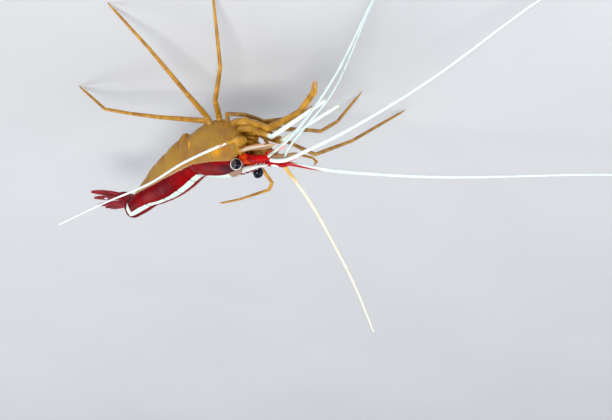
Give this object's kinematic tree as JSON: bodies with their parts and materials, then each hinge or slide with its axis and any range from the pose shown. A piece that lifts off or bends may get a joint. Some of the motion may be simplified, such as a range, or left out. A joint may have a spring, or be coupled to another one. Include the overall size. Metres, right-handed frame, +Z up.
{
  "type": "cleaner shrimp model",
  "caption": "Still life-size cleaner shrimp standing on its walking legs: amber body, crimson back with a white stripe, white feelers and a red tail fan.",
  "frame": {"origin": "on the floor, under the middle of the whole animal with its feelers", "axes": "+X towards the head, +Y towards the animal's left side, +Z up"},
  "size_m": [0.1192, 0.0988, 0.0402],
  "materials": {
    "amber_shell": "thin translucent shell, amber to tan sides, crimson back with a white stripe, soft gloss",
    "amber_limb": "thin translucent amber-orange shell, soft gloss",
    "crimson_shell": "crimson shell with white spots, soft gloss",
    "white_feeler": "white ringed feeler",
    "cornea": "glossy black faceted eye with a grey-white rim",
    "clear_blade": "thin clear blade with red edges and a white line"
  },
  "bodies": {
    "root": {"carapace": "amber_shell", "pleonite_1": "amber_shell", "pleonite_2": "amber_shell", "pleonite_3": "amber_shell", "pleonite_4": "amber_shell", "pleonite_5": "amber_shell", "pleonite_6": "amber_shell", "telson": "crimson_shell", "mouthparts": "amber_limb", "uropod_left_inner": "crimson_shell", "uropod_left_outer": "crimson_shell", "eye_left": "cornea", "eyestalk_left": "amber_limb", "antennal_scale_left": "clear_blade", "antennule_stalk_left": "crimson_shell", "antenna_stalk_left": "amber_limb", "maxilliped_left": "amber_limb", "swimmeret_left_1": "amber_limb", "swimmeret_left_2": "amber_limb", "swimmeret_left_3": "amber_limb", "swimmeret_left_4": "amber_limb", "swimmeret_left_5": "amber_limb", "uropod_right_inner": "crimson_shell", "uropod_right_outer": "crimson_shell", "eye_right": "cornea", "eyestalk_right": "amber_limb", "antennal_scale_right": "clear_blade", "antennule_stalk_right": "crimson_shell", "antenna_stalk_right": "amber_limb", "maxilliped_right": "amber_limb", "swimmeret_right_1": "amber_limb", "swimmeret_right_2": "amber_limb", "swimmeret_right_3": "amber_limb", "swimmeret_right_4": "amber_limb", "swimmeret_right_5": "amber_limb", "antennule_left_outer": "white_feeler", "antennule_left_inner": "white_feeler", "antennule_right_inner": "white_feeler", "antennule_right_outer": "white_feeler", "antenna_left": "white_feeler", "antenna_right": "white_feeler", "leg_left_1": "amber_limb", "leg_left_2": "amber_limb", "leg_left_3": "amber_limb", "leg_left_4": "amber_limb", "leg_left_5": "amber_limb", "leg_right_1": "amber_limb", "leg_right_2": "amber_limb", "leg_right_3": "amber_limb", "leg_right_4": "amber_limb", "leg_right_5": "amber_limb"}
  },
  "joints": []
}
